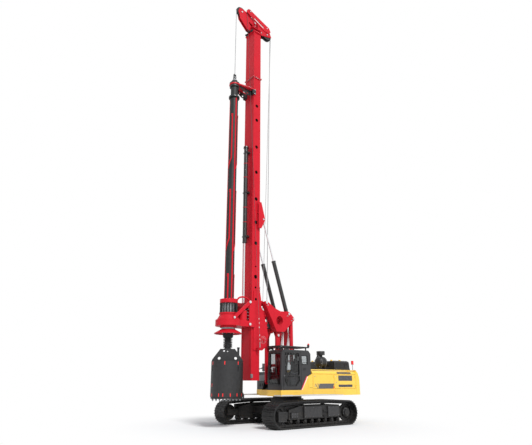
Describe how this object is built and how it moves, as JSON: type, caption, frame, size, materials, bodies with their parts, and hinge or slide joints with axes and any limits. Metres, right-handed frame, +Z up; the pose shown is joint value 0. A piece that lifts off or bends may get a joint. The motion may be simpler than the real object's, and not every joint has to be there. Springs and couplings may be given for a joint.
{
  "type": "rotary piling rig",
  "caption": "Crawler drilling rig with a tall mast, telescopic kelly bar, rotary head, drilling bucket, linkage-held mast and a cab on a slewing deck.",
  "frame": {"origin": "on the ground under the middle of the machine's length and width, with the drilling bucket ahead", "axes": "+X ahead towards the bucket, +Y left towards the cab, +Z up"},
  "size_m": [8.13, 4.4, 23.18],
  "materials": {
    "red_paint": "gloss paint",
    "yellow_paint": "gloss paint",
    "black_paint": "satin paint",
    "grey_paint": "satin paint",
    "track_steel": "worn black steel",
    "kelly_steel": "dark satin paint",
    "rod_chrome": "polished",
    "window_glass": "tinted",
    "seat_plastic": "matt",
    "lamp_red": "clear red"
  },
  "bodies": {
    "undercarriage": {"carbody": "black_paint", "track_frame_left": "track_steel", "track_frame_right": "track_steel", "track_left": "track_steel", "track_right": "track_steel", "idlers": "track_steel", "sprockets": "track_steel"},
    "upper": {"slew_ring": "track_steel", "deck": "black_paint", "deck_skirt": "yellow_paint", "counterweight": "yellow_paint", "house": "yellow_paint", "engine": "black_paint", "engine_hood": "black_paint", "air_cleaner": "black_paint", "cab": "black_paint", "cab_glass": "window_glass", "cab_seat": "seat_plastic", "cab_guard": "black_paint", "side_box": "black_paint", "mirror": "black_paint", "beacon": "lamp_red"},
    "cab_door": {"cab_door": "black_paint", "cab_door_glass": "window_glass"},
    "access_door_front_left": {"access_door_front_left": "yellow_paint"},
    "access_door_rear_left": {"access_door_rear_left": "yellow_paint"},
    "access_door_front_right": {"access_door_front_right": "yellow_paint"},
    "access_door_rear_right": {"access_door_rear_right": "yellow_paint"},
    "boom": {"boom": "red_paint"},
    "link": {"link": "red_paint"},
    "triangle": {"triangle": "red_paint"},
    "luff_barrels": {"luff_barrels": "black_paint"},
    "luff_rods": {"luff_rods": "rod_chrome"},
    "mast_barrels": {"mast_barrels": "black_paint"},
    "mast_rods": {"mast_rods": "rod_chrome"},
    "mast": {"mast_pivot": "rod_chrome", "mast_lower": "red_paint", "mast_middle": "red_paint", "mast_upper": "red_paint", "mast_head": "red_paint", "crowd_barrel": "black_paint"},
    "front_sheave": {"front_sheave": "black_paint"},
    "rear_sheave": {"rear_sheave": "black_paint"},
    "aux_sheave": {"aux_sheave": "black_paint"},
    "main_drum": {"main_drum": "black_paint"},
    "aux_drum": {"aux_drum": "black_paint"},
    "rotary_head": {"carriage": "red_paint", "rotary_housing": "red_paint", "spring_cage": "black_paint", "crowd_rod": "rod_chrome"},
    "drive_sleeve": {"drive_sleeve": "grey_paint", "spoil_dish": "red_paint"},
    "kelly_guide": {"kelly_guide": "black_paint"},
    "kelly_outer": {"kelly_outer": "kelly_steel", "kelly_keys": "red_paint", "rope_swivel": "kelly_steel"},
    "kelly_inner": {"kelly_inner": "kelly_steel", "bucket": "kelly_steel"},
    "bucket_door": {"bucket_door": "kelly_steel"}
  },
  "joints": [
    {"name": "slew", "type": "hinge", "parent": "undercarriage", "child": "upper", "pos_m": [-0.26, 0, 1.15], "axis": [0, 0, 1], "continuous": true},
    {"name": "cab_door_swing", "type": "hinge", "parent": "upper", "child": "cab_door", "pos_m": [0.175, 1.493, 1.9], "axis": [0, 0, 1], "range_deg": [0, 150]},
    {"name": "access_door_front_left_swing", "type": "hinge", "parent": "upper", "child": "access_door_front_left", "pos_m": [-2.055, 1.493, 1.9], "axis": [0, 0, 1], "range_deg": [0, 100]},
    {"name": "access_door_rear_left_swing", "type": "hinge", "parent": "upper", "child": "access_door_rear_left", "pos_m": [-3.655, 1.493, 1.9], "axis": [0, 0, 1], "range_deg": [0, 100]},
    {"name": "access_door_front_right_swing", "type": "hinge", "parent": "upper", "child": "access_door_front_right", "pos_m": [-2.055, -1.493, 1.9], "axis": [0, 0, -1], "range_deg": [0, 100]},
    {"name": "access_door_rear_right_swing", "type": "hinge", "parent": "upper", "child": "access_door_rear_right", "pos_m": [-3.655, -1.493, 1.9], "axis": [0, 0, -1], "range_deg": [0, 100]},
    {"name": "luff", "type": "hinge", "parent": "upper", "child": "boom", "pos_m": [0.69, 0, 1.9], "axis": [0, 1, 0], "range_deg": [-10, 15]},
    {"name": "link_swing", "type": "hinge", "parent": "upper", "child": "link", "pos_m": [-0.22, 0, 2.75], "axis": [0, 1, 0], "range_deg": [-10, 15]},
    {"name": "triangle_level", "type": "hinge", "parent": "boom", "child": "triangle", "pos_m": [0.69, 0, 4.05], "axis": [0, 1, 0], "range_deg": [-15, 10]},
    {"name": "luff_barrel_tilt", "type": "hinge", "parent": "upper", "child": "luff_barrels", "pos_m": [0.13, 0, 1.85], "axis": [0, 1, 0], "range_deg": [-7.68, 11.52]},
    {"name": "luff_rod_slide", "type": "slide", "parent": "luff_barrels", "child": "luff_rods", "axis": [-0.151, 0, 0.9885], "range_m": [-0.0904, 0.0603]},
    {"name": "mast_pitch", "type": "hinge", "parent": "triangle", "child": "mast", "pos_m": [1.55, 0, 5.54], "axis": [0, 1, 0], "range_deg": [-15, 5]},
    {"name": "mast_barrel_tilt", "type": "hinge", "parent": "triangle", "child": "mast_barrels", "pos_m": [0.07, 0, 5.12], "axis": [0, 1, 0], "range_deg": [-12.62, 4.21]},
    {"name": "mast_rod_slide", "type": "slide", "parent": "mast_barrels", "child": "mast_rods", "axis": [0.3168, 0, 0.9485], "range_m": [-0.3472, 0.1158]},
    {"name": "front_sheave_spin", "type": "hinge", "parent": "mast", "child": "front_sheave", "pos_m": [3.01, 0, 22.7], "axis": [0, 1, 0], "continuous": true},
    {"name": "rear_sheave_spin", "type": "hinge", "parent": "mast", "child": "rear_sheave", "pos_m": [1.12, 0, 22.03], "axis": [0, 1, 0], "continuous": true},
    {"name": "aux_sheave_spin", "type": "hinge", "parent": "mast", "child": "aux_sheave", "pos_m": [2.46, 0, 22.99], "axis": [0, 1, 0], "continuous": true},
    {"name": "main_drum_spin", "type": "hinge", "parent": "mast", "child": "main_drum", "pos_m": [1.14, 0, 4.51], "axis": [0, 1, 0], "continuous": true},
    {"name": "aux_drum_spin", "type": "hinge", "parent": "mast", "child": "aux_drum", "pos_m": [1.58, 0, 3.79], "axis": [0, 1, 0], "continuous": true},
    {"name": "crowd", "type": "slide", "parent": "mast", "child": "rotary_head", "axis": [0, 0, 1], "range_m": [-0.4, 2.6]},
    {"name": "sleeve_spin", "type": "hinge", "parent": "rotary_head", "child": "drive_sleeve", "pos_m": [3.35, 0, 4.2], "axis": [0, 0, 1], "continuous": true},
    {"name": "kelly_hoist", "type": "slide", "parent": "mast", "child": "kelly_guide", "axis": [0, 0, 1], "range_m": [-10.8, 0.4]},
    {"name": "kelly_spin", "type": "hinge", "parent": "kelly_guide", "child": "kelly_outer", "pos_m": [3.35, 0, 17], "axis": [0, 0, 1], "continuous": true},
    {"name": "kelly_extend", "type": "slide", "parent": "kelly_outer", "child": "kelly_inner", "axis": [0, 0, -1], "range_m": [0, 11]},
    {"name": "bucket_door_swing", "type": "hinge", "parent": "kelly_inner", "child": "bucket_door", "pos_m": [2.74123, 0.42944, 1.24], "axis": [0.5764, 0.8171, 0], "range_deg": [0, 80]}
  ],
  "couplings": [
    {"joint": "link_swing", "follows": "luff", "ratio": 1},
    {"joint": "triangle_level", "follows": "luff", "ratio": -1},
    {"joint": "luff_barrel_tilt", "follows": "luff", "ratio": 0.7678},
    {"joint": "luff_rod_slide", "follows": "luff", "m_per_rad": -0.3451},
    {"joint": "mast_barrel_tilt", "follows": "mast_pitch", "ratio": 0.8416},
    {"joint": "mast_rod_slide", "follows": "mast_pitch", "m_per_rad": 1.3262},
    {"joint": "sleeve_spin", "follows": "kelly_spin", "ratio": 1}
  ]
}
